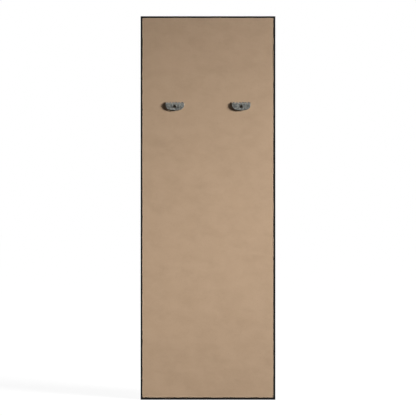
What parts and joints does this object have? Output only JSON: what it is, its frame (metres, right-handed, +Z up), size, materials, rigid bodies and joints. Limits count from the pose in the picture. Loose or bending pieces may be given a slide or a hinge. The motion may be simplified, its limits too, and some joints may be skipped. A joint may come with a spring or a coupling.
{
  "type": "leaner mirror",
  "caption": "Tall leaner mirror in a slim black metal frame, with a flush board at the back and toothed half-moon hangers for hanging it flat on a wall.",
  "frame": {"origin": "middle of the frame's underside, at half the frame's depth", "axes": "+X to the right as seen from the front, +Y to the back, so the glass faces -Y, and +Z up"},
  "size_m": [0.65, 0.034, 1.85],
  "materials": {
    "frame": "black powder coat on an aluminium extrusion",
    "corner_key": "bare zinc casting",
    "grub_screw": "blackened steel",
    "mirror_glass": "silvered at the back, with ground edges",
    "safety_film": "matt adhesive film",
    "glazing_tape": "matt foam",
    "pine": "planed and unfinished",
    "card": "honeycomb card between paper faces",
    "backing_board": "smooth unfinished fibreboard",
    "hanger": "dull galvanised sheet steel"
  },
  "bodies": {
    "root": {"frame_left_stile": "frame", "frame_top_rail": "frame", "frame_right_stile": "frame", "frame_bottom_rail": "frame", "corner_key_bottom_left": "corner_key", "corner_key_top_left": "corner_key", "corner_key_top_right": "corner_key", "corner_key_bottom_right": "corner_key", "corner_key_screws": "grub_screw", "mirror_glass": "mirror_glass", "safety_film": "safety_film", "glazing_tape_left": "glazing_tape", "glazing_tape_top": "glazing_tape", "glazing_tape_right": "glazing_tape", "glazing_tape_bottom": "glazing_tape", "batten_left": "pine", "batten_top": "pine", "batten_right": "pine", "batten_bottom": "pine", "hanger_rail": "pine", "cross_rail_middle": "pine", "cross_rail_lower": "pine", "filler_panel_top": "card", "filler_panel_upper": "card", "filler_panel_middle": "card", "filler_panel_lower": "card", "backing_board": "backing_board", "hanger_left": "hanger", "hanger_right": "hanger"}
  },
  "joints": []
}
